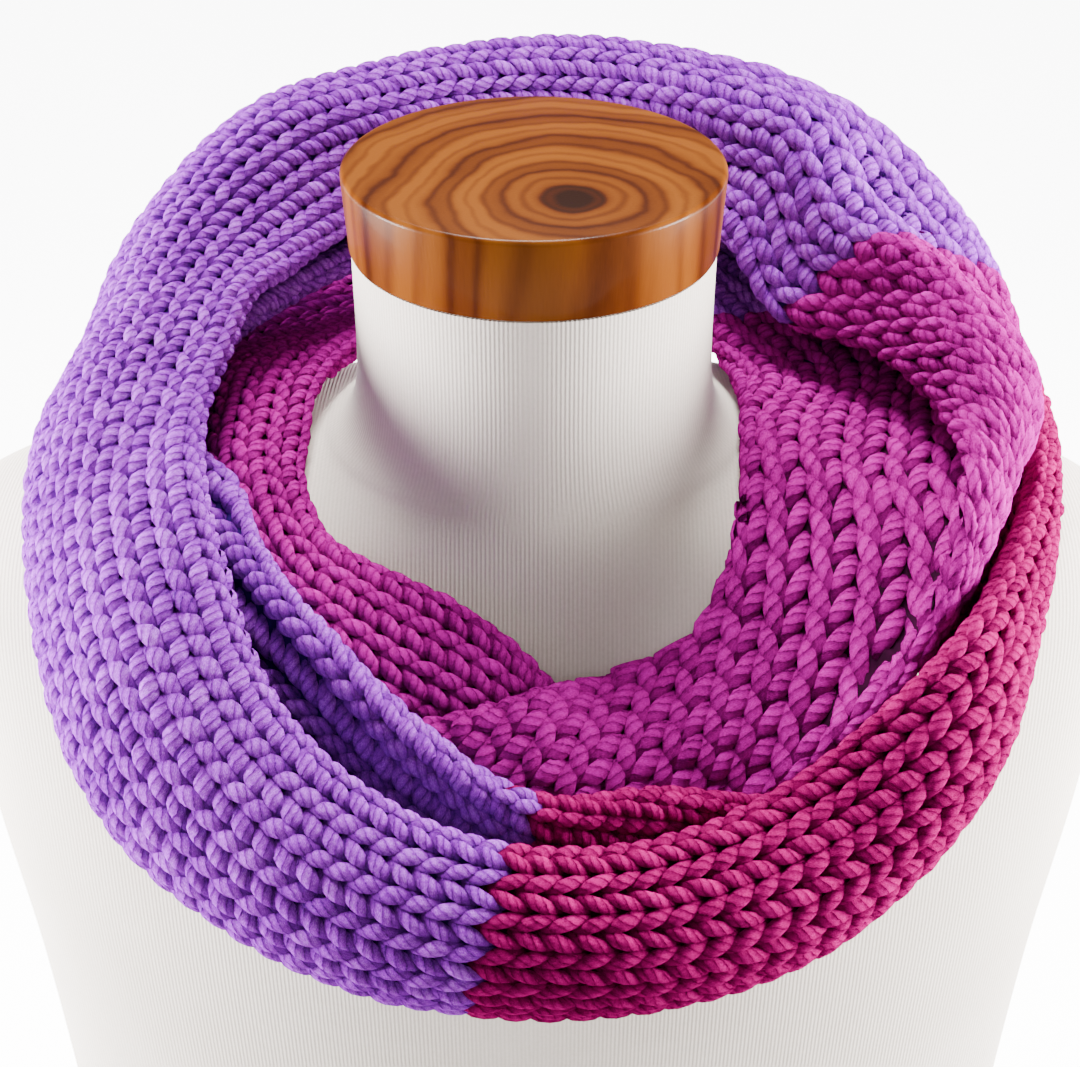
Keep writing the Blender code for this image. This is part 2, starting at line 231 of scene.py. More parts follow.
# One row is one stretch of cloth: its node's name, the angles between which it lies, its
# colour, what it lies on and the number of stitch pieces on it.
Stretch = namedtuple("Stretch", "name start end colour rests_on parts")

STRETCHES = [
    Stretch("scarf_magenta_inner", MAGENTA_START, RASPBERRY_START, "magenta_knit",
            ["form_body"], 2),
    Stretch("scarf_raspberry", RASPBERRY_START, PURPLE_START, "raspberry_knit",
            ["form_body"], 2),
    Stretch("scarf_purple", PURPLE_START, MAGENTA_OUTER_START, "purple_knit",
            ["form_body", "scarf_raspberry"], 2),
    Stretch("scarf_magenta_outer", MAGENTA_OUTER_START, MAGENTA_END, "magenta_knit",
            ["scarf_magenta_inner"], 1),
]

# One row says which wales of the tube lie where: how many on the upper face and on the lower
# one, and which lies on the outer edge. The rest are tucked in a pleat under the neck's edge.
Wales = namedtuple("Wales", "angle upper lower edge")

WALE_TABLE = [
    Wales(337, 3.4, 3.4, -1.6),
    Wales(355, 4.6, 4.2, -0.4),
    Wales(370, 6.2, 5.5, 1.2),
    Wales(385, 5.7, 5.0, 0.7),
    Wales(400, 4.8, 4.0, -0.2),
    Wales(415, 4.1, 3.4, -0.9),
    Wales(445, 5.3, 4.4, 0.3),
    Wales(475, 5.8, 5.8, 0.8),
    Wales(535, 6.6, 7.4, 1.6),
    Wales(580, 6.0, 7.2, 1.0),
    Wales(610, 5.0, 6.2, 0.0),
    Wales(640, 6.0, 7.0, 0.0),
    Wales(655, 8.0, 7.7, 0.0),
    Wales(670, 9.4, 9.7, 0.0),
    Wales(685, 10.2, 10.8, 0.0),
    Wales(700, 10.2, 12.4, 0.0),
    Wales(715, 9.4, 14.0, 0.0),
    Wales(730, 8.8, 14.8, 0.0),
    Wales(750, 8.2, 16.0, 0.0),
    Wales(775, 8.4, 16.0, 0.0),
    Wales(792, 9.6, 14.5, 0.0),
    Wales(815, 11.0, 14.8, 0.0),
    Wales(840, 11.4, 16.6, 0.0),
    Wales(930, 11.0, 17.0, 0.0),
    Wales(955, 11.4, 16.6, 0.0),
    Wales(985, 12.4, 15.2, 0.0),
    Wales(1000, 9.4, 14.0, -2.2),
    Wales(1015, 7.0, 10.8, -4.6),
    Wales(1030, 4.9, 8.6, -6.8),
    Wales(1045, 3.9, 6.4, -8.6),
    Wales(1060, 3.3, 5.4, -10.9),
    Wales(1075, 3.4, 6.0, -12.8),
    Wales(1098, 3.5, 5.0, -15.6),
]

# The place round the tube where the end of a stretch is read. At most ends it is on the belly.
JOIN_PLACES = {MAGENTA_OUTER_START: 30}
BELLY = 20

# The share of the tube's upper face in what shows, at some angles. The rest is its lower face.
FACE_ANGLES = (575.0, 602.0, 690.0, 705.0, 790.0, 830.0, 945.0, 970.0, 1035.0, 1060.0)
UPPER_SHARES = (1.0, 0.0, 0.0, 0.4, 0.4, 0.0, 0.0, 0.5, 0.5, 1.0)

# One row is a smooth bump over the skin: the angles between which it rises, stays and falls,
# the wales that it follows there, its reach in wales and its size.
Bump = namedtuple("Bump", "angles wales reach size")

# Small folds of the cloth, in millimetres.
RIDGES = [
    Bump((905, 940, 985, 1040), (3.6, 3.1, 3.1, -1.5), 1.4, 3.2),
    Bump((905, 940, 985, 1040), (5.4, 5.0, 4.8, 0.3), 1.6, -3.4),
]

# Places where the courses lag behind, in courses.
SHIFTS = [
    Bump((925, 975, 1000, 1050), (7.0, 7.0, 7.0, 5.0), 6.0, 3.4),
    Bump((690, 715, 735, 765), (19.2, 19.2, 19.2, 19.2), 4.5, -1.1),
]

# Each yarn's colours: a dark one, painted shade between the stitches and on buried yarn, one
# on its body, and a light one on its lit fibres, partly their own paler tone and partly painted
# highlight.
YARNS = {
    "purple_knit": ((0.018, 0.002, 0.075), (0.250, 0.012, 0.430), (0.580, 0.150, 0.850)),
    "magenta_knit": ((0.022, 0.0001, 0.014), (0.290, 0.0001, 0.180), (0.560, 0.0008, 0.390)),
    "raspberry_knit": ((0.022, 0.0001, 0.006), (0.240, 0.0001, 0.080), (0.520, 0.0010, 0.200)),
}
FLECKS = {
    "purple_knit": (0.20, 0.15, 0.26),
    "magenta_knit": (0.14, 0.002, 0.10),
    "raspberry_knit": (0.13, 0.002, 0.05),
}
YARN_STOPS = (0.10, 0.46, 0.86)
PLIES_ALONG = 5.2
PLIES_ACROSS = 2.0

# What each layer of the yarn's pattern adds to its brightness, and what is taken off the sum.
# The ply layer paints shade into the grooves between plies, the fibre layer is partly the
# fibres' own paler tone and partly painted highlight, and BURIED_LIGHT is the brightness left,
# as painted shade, where a leg dips into the cloth.
PLY_SHARE = 0.24
TONE_SHARE = 0.24
FIBRE_SHARE = 0.46
CLOUD_SHARE = 0.16
YARN_DROP = 0.14
BURIED_LIGHT = 0.30

# The jersey: the pitch of its ribs, the heights between which they close up round the neck,
# in metres, its colours, and the painted shade that darkens its rib grooves.
JERSEY_RIB = 1.3
RIB_CHANGE = (0.335, 0.350)
JERSEY_STOPS = [(0.3, (0.60, 0.52, 0.45)), (0.7, (0.74, 0.67, 0.60))]
RIB_PAINTED_SHADE = (0.88, 0.87, 0.86, 1.0)

# The wood: its pith's place, the pitch of its rings and of the slower change of tone across
# them, the reach of the dark pith in metres, and its colours.
PITH = (11.7, -28.4)
PITH_SQUEEZE = 0.86
PITH_REACH = 0.016
PITH_DARKNESS = 0.75
RING_PITCH = 5.6
SLOW_PITCH = 3.3 * RING_PITCH
SLOW_START = 1.1
GRAIN_STRETCH = 0.12
RING_WARP = 0.015
WOOD_STOPS = [(0.18, (0.140, 0.040, 0.004)), (0.45, (0.090, 0.022, 0.002)),
              (0.75, (0.038, 0.007, 0.001)), (1.0, (0.012, 0.003, 0.001))]

WHITE = (1.0, 1.0, 1.0, 1.0)

# The floor, in metres: its side, how far it is below the base, and where along y its glow
# starts and is full.
FLOOR_SIZE = 6.0
FLOOR_DROP = 0.0005
FLOOR_COLOUR = (0.70, 0.70, 0.70, 1.0)
FLOOR_GLOW = 9.0
GLOW_START = -0.12
GLOW_FULL = 0.03

# One row is one square soft light, in metres and watts. All face one point in the scarf.
Lamp = namedtuple("Lamp", "name place size power")

LAMPS = [
    Lamp("top", (-0.04, 0.40, 1.4), 0.5, 56.0),
    Lamp("left", (-0.62, -0.06, 0.38), 0.25, 27.0),
    Lamp("right", (0.62, -0.08, 0.42), 0.25, 27.0),
    Lamp("front", (0.0, -1.1, 1.1), 0.8, 3.0),
]
LIT_POINT = (0.0, 0.0, 0.33)
WORLD_LIGHT = 0.22


def curve_through(stops, values, at):
    """Read a smooth curve through rows of values, one row for each stop, at other stops."""
    stops = np.asarray(stops, float)
    values = np.asarray(values, float)
    at = np.asarray(at, float)
    span = np.diff(stops)
    slope = np.diff(values, axis=0) / span[:, None]
    tangent = np.empty_like(values)
    tangent[0] = slope[0]
    tangent[-1] = slope[-1]
    before = span[:-1, None]
    after = span[1:, None]
    tangent[1:-1] = (slope[:-1] * after + slope[1:] * before) / (before + after)
    index = np.clip(np.searchsorted(stops, at, side="right") - 1, 0, len(span) - 1)
    t = ((at - stops[index]) / span[index])[:, None]
    width = span[index][:, None]
    start = (2 * t**3 - 3 * t**2 + 1) * values[index]
    start_tangent = (t**3 - 2 * t**2 + t) * width * tangent[index]
    end = (3 * t**2 - 2 * t**3) * values[index + 1]
    end_tangent = (t**3 - t**2) * width * tangent[index + 1]
    return start + start_tangent + end + end_tangent


def along(line):
    """Return the distance from the line's start at each of its points."""
    steps = np.hypot(*np.diff(line, axis=0).T)
    return np.concatenate([[0.0], np.cumsum(steps)])


def read_line(line, count):
    """Read count evenly spaced points from a line."""
    length = along(line)
    at = np.linspace(0.0, length[-1], count)
    return np.stack([np.interp(at, length, line[:, axis]) for axis in (0, 1)], axis=1)


def soften(line, reach):
    """Round a line's bends with a moving average that keeps its two ends."""
    lead = 2 * line[0] - line[reach:0:-1]
    tail = 2 * line[-1] - line[-2:-reach - 2:-1]
    padded = np.vstack([lead, line, tail])
    kernel = np.hanning(2 * reach + 3)[1:-1]
    kernel = kernel / kernel.sum()
    return np.stack([np.convolve(padded[:, axis], kernel, "valid") for axis in (0, 1)], axis=1)


def centre_line(points):
    """Return the middle line of a cut through the flattened tube."""
    points = np.asarray(points, float)
    chord = np.hypot(*np.diff(points, axis=0).T) ** CHORD_POWER
    stops = np.concatenate([[0.0], np.cumsum(chord)])
    line = curve_through(stops, points, np.linspace(0.0, stops[-1], RAW_LINE_POINTS))
    length = along(line)[-1]
    count = int(length / LINE_PITCH)
    line = read_line(line, count)
    line = soften(line, int(round(FOLD_SOFTNESS / (length / (count - 1)))))
    return read_line(line, LINE_POINTS)


def outline(line, half, wales):
    """Return a cut's outline, which of its points are on the upper face, and their lean.

    There is one point for each place round the tube. The lean is one at the outer edge, falls
    to minus one at the neck's edge over the lower face, and is nothing on the upper face.
    """
    tangent = np.gradient(line, axis=0)
    tangent = tangent / np.hypot(*tangent.T)[:, None]
    normal = np.stack([-tangent[:, 1], tangent[:, 0]], axis=1)
    quarter = (pi / 2 * np.arange(1, EDGE_POINTS + 1) / (EDGE_POINTS + 1))[:, None]
    first_tip = line[:1] - half * tangent[:1]
    last_tip = line[-1:] + half * tangent[-1:]
    rise = line[0] + half * (np.sin(quarter) * normal[0] - np.cos(quarter) * tangent[0])
    fall = line[-1] + half * (np.cos(quarter) * normal[-1] + np.sin(quarter) * tangent[-1])
    upper_face = np.vstack([first_tip, rise, line + half * normal, fall, last_tip])
    sink = line[-1] - half * (np.sin(quarter) * normal[-1] - np.cos(quarter) * tangent[-1])
    climb = line[0] - half * (np.cos(quarter) * normal[0] + np.sin(quarter) * tangent[0])
    lower_face = np.vstack([sink, (line - half * normal)[::-1], climb, first_tip])
    ring = np.vstack([upper_face, lower_face])
    length = along(ring)
    upper_length = length[len(upper_face) - 1]
    upper, lower, edge = wales
    tucked = max(WALES - upper - lower, 0.0)
    wale = (np.arange(AROUND) / SAMPLES_A_WALE - edge + upper) % WALES
    stops = [0.0, upper, WALES - tucked, WALES]
    pleat = PLEAT_WIDTH * min(tucked, 1.0)
    at = np.interp(wale, stops, [0.0, upper_length, length[-1] - pleat, length[-1]])
    points = np.stack([np.interp(at, length, ring[:, axis]) for axis in (0, 1)], axis=1)
    share = np.clip((wale - upper) / lower, 0.0, 1.0)
    lean = np.where(wale < upper, 0.0, np.cos(pi * share))
    return points, wale < upper, lean


def unit(vectors):
    """Bring vectors to length one."""
    return vectors / np.linalg.norm(vectors, axis=-1, keepdims=True)


def between(grid, row, place):
    """Read a grid that closes across between its points, at arrays of fractional indices."""
    low = np.clip(np.floor(row).astype(int), 0, len(grid) - 2)
    left = np.floor(place).astype(int)
    row_part = row - low
    place_part = place - left
    right = (left + 1) % grid.shape[1]
    left = left % grid.shape[1]
    if grid.ndim == 3:
        row_part = row_part[..., None]
        place_part = place_part[..., None]
    near = grid[low, left] * (1 - place_part) + grid[low, right] * place_part
    far = grid[low + 1, left] * (1 - place_part) + grid[low + 1, right] * place_part
    return near * (1 - row_part) + far * row_part


class Loop:
    """The scarf as a grid of points: angles down, places round the tube across."""

    def __init__(self, cuts, start, end):
        """Lay out the skin between two angles, which may pass the table's ends a little."""
        self.angles = np.arange(start, end + ANGLE_PITCH / 2, ANGLE_PITCH)
        stops = [cut.angle for cut in cuts]
        values = [[cut.half, *sum(cut[2:], ())] for cut in cuts]
        rows = curve_through(stops, values, self.angles)
        shares = curve_through([row.angle for row in WALE_TABLE],
                               [row[1:] for row in WALE_TABLE], self.angles)
        rings = []
        upper_faces = []
        leans = []
        for angle, row, wales in zip(self.angles, rows, shares):
            line = centre_line(row[1:].reshape(-1, 2))
            ring, upper_face, lean = outline(line, row[0], wales)
            upper_faces.append(upper_face)
            leans.append(lean)
            turn = np.radians(angle)
            x = -ring[:, 0] * np.sin(turn)
            y = -ring[:, 0] * np.cos(turn)
            rings.append(np.stack([x, y, ring[:, 1] + CAP_TOP], axis=1))
        self.points = np.array(rings)
        self.points += self.bumps(RIDGES)[..., None] * self.facing()
        self.upper = np.array(upper_faces)
        self.lean = np.array(leans)
        self.normals = self.facing()
        self.numbers = self.course_numbers() - self.bumps(SHIFTS)

    def facing(self):
        """Return the unit normals of the skin."""
        down = np.gradient(self.points, axis=0)
        across = (np.roll(self.points, -1, axis=1) - np.roll(self.points, 1, axis=1)) / 2
        return unit(np.cross(down, across))

    def bumps(self, rows):
        """Add up smooth bumps over the skin, one for each row of a table."""
        total = np.zeros((len(self.angles), AROUND))
        for row in rows:
            ahead = np.interp(self.angles, row.angles, (0.0, 1.0, 1.0, 0.0))
            middle = np.interp(self.angles, row.angles, row.wales)
            wale = np.arange(AROUND) / SAMPLES_A_WALE - middle[:, None]
            wale = (wale + WALES / 2) % WALES - WALES / 2
            aside = np.clip(1.0 - np.abs(wale) / row.reach, 0.0, 1.0)
            ahead = ahead * ahead * (3.0 - 2.0 * ahead)
            aside = aside * aside * (3.0 - 2.0 * aside)
            total += row.size * ahead[:, None] * aside
        return total

    def read(self, grid, row, place):
        """Read one of the skin's grids, no further than its ends."""
        return between(grid, np.clip(row, 0, len(self.angles) - 1.001), place)

    def course_numbers(self):
        """Number the knit's courses over the skin.

        The numbers rise by one for each row pitch along the wales and stay level square to
        them, as nearly as the cloth's bends allow, and most nearly where the cloth shows.
        """
        kept = np.unique(np.append(np.arange(0, len(self.angles), COARSE), len(self.angles) - 1))
        points = self.points[kept][:, ::COARSE]
        angles = self.angles[kept]

        def down(grid):
            step = grid[1:] - grid[:-1]
            return (step + np.roll(step, -1, axis=1)) / 2

        def round_tube(grid):
            step = np.roll(grid, -1, axis=1) - grid
            return (step[1:] + step[:-1]) / 2

        along_wale = down(points)
        length = np.linalg.norm(along_wale, axis=2)
        sideways = round_tube(points)
        slant = -(along_wale * sideways).sum(axis=2) / length**2
        width = np.linalg.norm(sideways + slant[..., None] * along_wale, axis=2)
        width = np.maximum(width, NARROWEST_STEP)
        middle = (angles[1:] + angles[:-1]) / 2
        upper = np.interp(middle, FACE_ANGLES, UPPER_SHARES)[:, None]
        shows = np.where(self.upper[kept][1:, ::COARSE], upper, 1 - upper)
        lead = FOLD_LEAD * np.interp(middle, LEAD_ANGLES, LEAD_SHARES)[:, None]
        lead = -lead * self.lean[kept][1:, ::COARSE]
        weight = length * width * (HIDDEN_WEIGHT + (1 - HIDDEN_WEIGHT) * shows)

        def pull(rise, level):
            both = rise / length + slant * level / width
            both = (both + np.roll(both, 1, axis=1)) / 2
            side = level / width / 2
            total = np.zeros(points.shape[:2])
            total[1:] += both
            total[:-1] -= both
            spread = np.zeros(points.shape[:2])
            spread[1:] += side
            spread[:-1] += side
            return total + np.roll(spread, 1, axis=1) - spread

        def stiffness(grid):
            fall = down(grid)
            rise = fall / length
            level = (round_tube(grid) + slant * fall) / width
            return pull(weight * rise, weight * level)

        mean_length = np.concatenate([[0.0], np.cumsum(length.mean(axis=1))])
        numbers = np.repeat(mean_length[:, None] / ROW_PITCH, points.shape[1], axis=1)
        pitch = ROW_PITCH * np.interp(middle, PITCH_ANGLES, PITCH_SHARES)[:, None]
        error = pull(weight / pitch, weight * lead / pitch) - stiffness(numbers)
        step = error.copy()
        size = (error * error).sum()
        for _ in range(FIELD_STEPS):
            moved = stiffness(step)
            share = size / (step * moved).sum()
            numbers += share * step
            error -= share * moved
            after = (error * error).sum()
            step = error + (after / size) * step
            size = after
        rows = np.interp(np.arange(len(self.angles)), kept, np.arange(len(kept)))
        return between(numbers, rows[:, None], np.arange(AROUND)[None] / COARSE)

    def course_lines(self):
        """Return where each course crosses each place round the tube, as grid rows."""
        first = int(np.ceil(self.numbers[0].min()))
        last = int(np.floor(self.numbers[-1].max()))
        courses = np.arange(first, last + 1)
        rows = np.arange(len(self.angles))
        lines = [np.interp(courses, self.numbers[:, place], rows) for place in range(AROUND)]
        return first, np.stack(lines, axis=1)


def mesh_object(name, points, faces, surface):
    """Make a smooth mesh object in metres from points in millimetres and four-sided faces."""
    mesh = bpy.data.meshes.new(name)
    mesh.vertices.add(len(points))
    mesh.vertices.foreach_set("co", (points * MM).astype(np.float32).ravel())
    mesh.loops.add(faces.size)
    mesh.loops.foreach_set("vertex_index", faces.astype(np.int32).ravel())
    mesh.polygons.add(len(faces))
    mesh.polygons.foreach_set("loop_start", np.arange(0, faces.size, 4, dtype=np.int32))
    mesh.update(calc_edges=True)
    mesh.shade_smooth()
    mesh.materials.append(surface)
    return placed(name, mesh)


def placed(name, data):
    """Put a mesh, a light or a camera into the scene."""
    made = bpy.data.objects.new(name, data)
    bpy.context.scene.collection.objects.link(made)
    return made


def grid_faces(rows, columns):
    """Return the four-sided faces of an open grid."""
    row, column = np.meshgrid(np.arange(rows - 1), np.arange(columns - 1), indexing="ij")
    corner = row * columns + column
    corners = (corner, corner + 1, corner + columns + 1, corner + columns)
    return np.stack(corners, axis=-1).reshape(-1, 4)


def shell(name, loop, start, end, surface):
    """Make the thin cloth under the stitches, dark with painted shade, slit along its first wale.
    """
    inside = (loop.angles >= start - ANGLE_SLACK) & (loop.angles <= end + ANGLE_SLACK)
    rows = np.where(inside)[0][::SHELL_ROW_STEP]
    around = np.arange(0, AROUND + 1, SHELL_PLACE_STEP) % AROUND
    points = loop.points[rows][:, around] - SHELL_DEPTH * loop.normals[rows][:, around]
    faces = grid_faces(len(rows), len(around))
    return mesh_object(name, points.reshape(-1, 3), faces, surface)


def leg_points(loop, lines, first, last, chance):
    """Return the points of the yarn legs between two courses, a row for each leg."""
    ring = np.array(LEG)
    course = np.arange(first, last)[:, None, None, None]
    wale = np.arange(WALES)[:, None, None]
    side = np.array([-1.0, 1.0])[:, None]
    shape = (last - first, WALES, len(side), 1)
    course = course - ring[:, 0] + chance.normal(0.0, COURSE_SPREAD, shape)
    place = (wale + 0.5) * SAMPLES_A_WALE + side * ring[:, 1] * SAMPLES_A_WALE
    place = place + chance.normal(0.0, PLACE_SPREAD, shape)
    row = between(lines, *np.broadcast_arrays(course, place))
    normal = unit(loop.read(loop.normals, row, place))
    lift = ring[:, 2] - YARN_BED + chance.normal(0.0, LIFT_SPREAD, shape)
    centre = loop.read(loop.points, row, place) + normal * lift[..., None]
    ahead = unit(np.gradient(centre, axis=3))
    sideways = unit(np.cross(ahead, normal))
    up = np.cross(sideways, ahead)
    half = SAMPLES_A_WALE / 2
    left_side = loop.read(loop.points, row, place - half)
    right_side = loop.read(loop.points, row, place + half)
    wale_width = np.linalg.norm(right_side - left_side, axis=-1).mean(axis=-1)
    swell = np.clip((wale_width / USUAL_WALE) ** 2, 1.0, WIDEST_SWELL)[..., None]
    width = swell * ring[:, 3] * (1.0 + chance.normal(0.0, WIDTH_SPREAD, shape))
    arch = np.radians(np.linspace(ARCH_START, 180.0 - ARCH_START, ARCH_POINTS))
    reach = (width[..., None] * np.cos(arch))[..., None]
    rise = (YARN_HEIGHT * np.sin(arch))[:, None]
    points = centre[..., None, :] + reach * sideways[..., None, :] + rise * up[..., None, :]
    built = wale_width.ravel() > NARROWEST_WALE
    return points.reshape(len(built), -1, 3)[built]


def stitches(name, loop, lines, first, last, surface):
    """Make one piece of yarn legs, two for every stitch, with the marks that the yarn reads."""
    chance = np.random.default_rng(SEED + first)
    points = leg_points(loop, lines, first, last, chance)
    legs = len(points)
    rings = len(LEG)
    offset = np.arange(legs)[:, None, None] * rings * ARCH_POINTS
    faces = (grid_faces(rings, ARCH_POINTS) + offset).reshape(-1, 4)
    made = mesh_object(name, points.reshape(-1, 3), faces, surface)
    lengthwise, crosswise = np.meshgrid(np.linspace(0.0, 1.0, rings),
                                        np.linspace(0.0, 1.0, ARCH_POINTS), indexing="ij")
    shift = chance.uniform(0.0, 1.0, legs)[:, None, None]
    u, v = np.broadcast_arrays(crosswise, lengthwise + shift)
    corners = np.stack([u.ravel(), v.ravel()], axis=1)[faces.ravel()]
    layer = made.data.uv_layers.new(name="yarn")
    layer.data.foreach_set("uv", corners.astype(np.float32).ravel())
    tone = np.repeat(chance.normal(MIDDLE_TONE, TONE_SPREAD, legs), rings * ARCH_POINTS)
    exposed = np.tile(np.repeat([ring.exposed for ring in LEG], ARCH_POINTS), legs)
    for mark, values in (("tone", np.clip(tone, 0.0, 1.0)), ("exposed", exposed)):
        layer = made.data.attributes.new(mark, "FLOAT", "POINT")
        layer.data.foreach_set("value", values.astype(np.float32))
    return made


class Nodes:
    """Short calls that add nodes to one material."""

    def __init__(self, name):
        self.material = bpy.data.materials.new(name)
        self.material.use_nodes = True
        self.tree = self.material.node_tree

    def add(self, kind, inputs=None, **settings):
        """Add a node, set its settings, and link or set its inputs."""
        node = self.tree.nodes.new(kind)
        for key, value in settings.items():
            setattr(node, key, value)
        for key, value in (inputs or {}).items():
            self.feed(node.inputs[key], value)
        return node

    def feed(self, socket, value):
        """Link a socket to another node's socket, or set its value."""
        if isinstance(value, bpy.types.NodeSocket):
            self.tree.links.new(value, socket)
        else:
            socket.default_value = value

    def finish(self, **inputs):
        """Feed the shader's inputs, named with _ for a space, and return the material."""
        shader = self.tree.nodes["Principled BSDF"]
        for key, value in inputs.items():
            self.feed(shader.inputs[key.replace("_", " ")], value)
        return self.material

    def place(self):
        """Return the position of the surface, in metres."""
        return self.add("ShaderNodeNewGeometry").outputs["Position"]

    def split(self, vector):
        """Return the three outputs that hold a vector's parts."""
        return self.add("ShaderNodeSeparateXYZ", {0: vector}).outputs

    def join(self, x, y, z):
        """Return a vector made from its parts."""
        return self.add("ShaderNodeCombineXYZ", {"X": x, "Y": y, "Z": z}).outputs[0]

    def math(self, operation, first, second=0.0, clamp=False):
        """Return the output of a math node."""
        inputs = {0: first, 1: second}
        return self.add("ShaderNodeMath", inputs, operation=operation, use_clamp=clamp).outputs[0]

    def total(self, *parts, start=0.0):
        """Return the sum of a start and some values, each times its weight."""
        for value, weight in parts:
            inputs = {0: value, 1: weight, 2: start}
            start = self.add("ShaderNodeMath", inputs, operation="MULTIPLY_ADD").outputs[0]
        return start

    def waves(self, value, length, start=0.0):
        """Return a sine wave over a value, of some wave length."""
        return self.math("SINE", self.total((value, 2 * pi / length), start=start))

    def mix(self, share, low, high, blend="MIX"):
        """Return a mix of two colours."""
        node = self.add("ShaderNodeMix", {0: share, 6: low, 7: high},
                        data_type="RGBA", blend_type=blend)
        return node.outputs[2]

    def remap(self, value, low, high, to_low=0.0, to_high=1.0):
        """Return a value's place between two others, brought to a new span."""
        inputs = {"Value": value, "From Min": low, "From Max": high,
                  "To Min": to_low, "To Max": to_high}
        return self.add("ShaderNodeMapRange", inputs).outputs[0]

    def noise(self, vector, scale, detail=2.0, roughness=0.5):
        """Return the value of a noise texture."""
        inputs = {"Vector": vector, "Scale": scale, "Detail": detail, "Roughness": roughness}
        return self.add("ShaderNodeTexNoise", inputs).outputs["Fac"]

    def ramp(self, share, stops):
        """Return a colour ramp's output. stops are pairs of a place and a colour."""
        node = self.add("ShaderNodeValToRGB", {0: share})
        while len(node.color_ramp.elements) < len(stops):
            node.color_ramp.elements.new(0.5)
        for element, (place, colour) in zip(node.color_ramp.elements, stops):
            element.position = place
            element.color = (*colour, 1.0)
        return node.outputs["Color"]

    def bump(self, height, strength, distance):
        """Return the normal of a surface that is raised by a height."""
        inputs = {"Height": height, "Strength": strength, "Distance": distance}
        return self.add("ShaderNodeBump", inputs).outputs["Normal"]

    def mark(self, name):
        """Return a value that the mesh's points carry."""
        return self.add("ShaderNodeAttribute", attribute_name=name).outputs["Fac"]


def yarn(name, colours, fleck):
    """Make a soft plied yarn: plies wound across each leg, with fine fibres along them."""
    n = Nodes(name)
    leg = n.split(n.add("ShaderNodeUVMap", uv_map="yarn").outputs["UV"])
    place = n.place()
    wobble = n.math("MULTIPLY", n.noise(place, scale=260.0), 0.7)
    turn = n.total((leg["Y"], PLIES_ALONG), (leg["X"], PLIES_ACROSS))
    beside = n.total((leg["Y"], PLIES_ACROSS), (leg["X"], -PLIES_ALONG))
    wave = n.waves(n.math("ADD", turn, wobble), 2.0)
    ply = n.math("POWER", n.math("ABSOLUTE", wave), 0.55)
    strands = n.join(n.math("MULTIPLY", turn, 6.0), beside, n.math("MULTIPLY", wobble, 2.0))
    fibre = n.noise(strands, scale=2.4, detail=4.0, roughness=0.78)
    specks = n.noise(strands, scale=1.3, detail=3.0, roughness=0.75)
    cloud = n.noise(place, scale=30.0, detail=3.0)
    sharp = n.remap(fibre, 0.34, 0.66)
    # Painted shade and highlight: the ply waves darken the grooves between plies, and the fibres
    # lighten the colour, partly as painted highlight.
    value = n.total((ply, PLY_SHARE), (n.mark("tone"), TONE_SHARE), (sharp, FIBRE_SHARE),
                    (cloud, CLOUD_SHARE), start=-YARN_DROP)
    # Painted shade: the colour is darkened where a leg dips into the cloth, by the share of light
    # that its points carry.
    painted_light = n.total((n.mark("exposed"), 1.0 - BURIED_LIGHT), start=BURIED_LIGHT)
    value = n.math("MULTIPLY", value, painted_light, clamp=True)
    flecked = n.math("MULTIPLY", n.remap(specks, 0.57, 0.70, 0.0, 0.60), painted_light)
    body = n.ramp(value, list(zip(YARN_STOPS, colours)))
    height = n.total((ply, 0.8), (fibre, 0.45))
    return n.finish(Base_Color=n.mix(flecked, body, (*fleck, 1.0)),
                    Normal=n.bump(height, 0.9, 0.0008),
                    Roughness=0.85, Specular_IOR_Level=0.0)


def shade(name, colour):
    """Make the matt cloth that shows between the stitches, coloured dark as painted shade."""
    n = Nodes(name)
    deep = tuple(0.45 * part for part in colour)
    tone = n.noise(n.place(), scale=300.0, detail=3.0)
    return n.finish(Base_Color=n.ramp(tone, [(0.3, deep), (0.7, colour)]),
                    Roughness=0.95, Specular_IOR_Level=0.05)


def jersey():
    """Make the form's cream cover: fine upright ribs, closer set round the neck."""
    n = Nodes("jersey")
    place = n.place()
    split = n.split(place)
    turn = n.math("ARCTAN2", split["X"], n.math("MULTIPLY", split["Y"], -1.0))
    round_ribs = n.waves(turn, JERSEY_RIB / NECK_RADIUS)
    flat_ribs = n.waves(split["X"], JERSEY_RIB * MM)
    ribs = n.mix(n.remap(split["Z"], *RIB_CHANGE), flat_ribs, round_ribs)
    weave = n.noise(place, scale=900.0)
    cloud = n.noise(place, scale=9.0, detail=4.0)
    colour = n.ramp(n.total((cloud, 0.7), (weave, 0.3)), JERSEY_STOPS)
    # Painted shade: the colour is darkened in the grooves between the ribs.
    rib_painted_shade = n.mix(n.total((ribs, 0.5), start=0.5), RIB_PAINTED_SHADE, WHITE)
    height = n.total((ribs, 0.6), start=weave)
    return n.finish(Base_Color=n.mix(1.0, colour, rib_painted_shade, "MULTIPLY"),
                    Normal=n.bump(height, 0.35, 0.0002),
                    Roughness=0.85, Specular_IOR_Level=0.2, Sheen_Weight=0.15)


